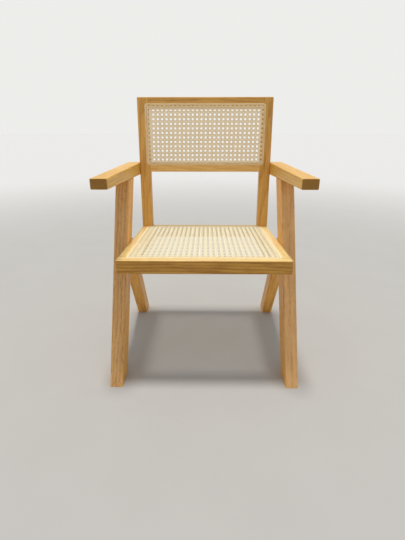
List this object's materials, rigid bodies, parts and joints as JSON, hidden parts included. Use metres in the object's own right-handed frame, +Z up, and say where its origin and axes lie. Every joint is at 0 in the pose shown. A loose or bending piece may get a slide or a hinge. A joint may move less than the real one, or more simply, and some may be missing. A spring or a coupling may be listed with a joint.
{
  "type": "armchair",
  "caption": "Low wooden armchair with splayed compass legs under flat arms, a woven cane seat and a leaning woven cane backrest.",
  "frame": {"origin": "on the floor, under the middle of the chair's bounding box", "axes": "+Z up from the floor, +Y from the front of the chair to its back, +X to the chair's side that is on the right when it is seen from the front"},
  "size_m": [0.571, 0.5526, 0.8027],
  "materials": {
    "leg_wood": "open-grained hardwood, satin oil",
    "arm_wood": "open-grained hardwood, satin oil",
    "back_wood": "open-grained hardwood, satin oil",
    "seat_wood": "open-grained hardwood, satin oil",
    "cane": "peeled rattan cane, natural satin",
    "reed": "rattan core reed, matt",
    "dowel_wood": "turned hardwood, matt",
    "steel": "zinc plated"
  },
  "bodies": {
    "root": {"left_front_leg": "leg_wood", "right_front_leg": "leg_wood", "left_rear_leg": "leg_wood", "right_rear_leg": "leg_wood", "left_armrest": "arm_wood", "right_armrest": "arm_wood", "left_back_stile": "back_wood", "right_back_stile": "back_wood", "back_top_rail": "back_wood", "back_lower_rail": "back_wood", "left_seat_side_rail": "seat_wood", "right_seat_side_rail": "seat_wood", "seat_front_rail": "seat_wood", "seat_rear_rail": "seat_wood", "seat_cane_panel": "cane", "back_cane_panel": "cane", "seat_spline": "reed", "back_spline": "reed", "arm_dowels": "dowel_wood", "screw_plugs": "dowel_wood", "seat_leg_screws": "steel"}
  },
  "joints": []
}
